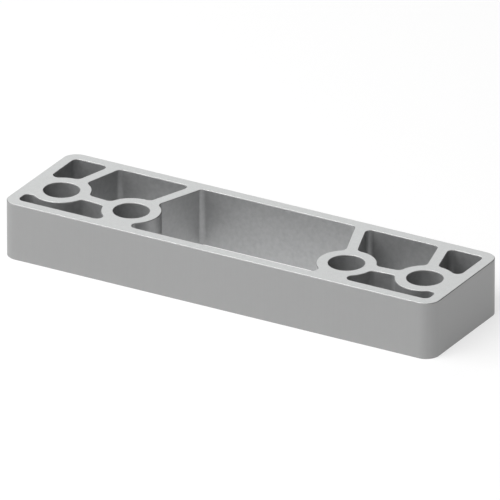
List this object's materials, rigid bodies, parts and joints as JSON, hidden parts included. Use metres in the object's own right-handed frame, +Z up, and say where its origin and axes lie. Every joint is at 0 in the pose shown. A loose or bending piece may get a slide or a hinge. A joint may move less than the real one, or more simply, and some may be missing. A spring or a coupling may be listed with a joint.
{
  "type": "mounting block",
  "caption": "Flat aluminium mounting block cut from a hollow extrusion, with bolt bores in round bosses at both ends, ribs to one long wall and an open pocket between them.",
  "frame": {"origin": "centre of the bottom cut face, on the surface that the block lies on", "axes": "+X along the block, +Y from the front wall beside the bores to the back wall that the ribs meet, +Z up along the bores"},
  "size_m": [0.122, 0.034, 0.015],
  "materials": {
    "aluminium": "bare satin aluminium, finely grained cut faces and smooth extruded walls"
  },
  "bodies": {
    "root": {"mounting_block": "aluminium"}
  },
  "joints": []
}
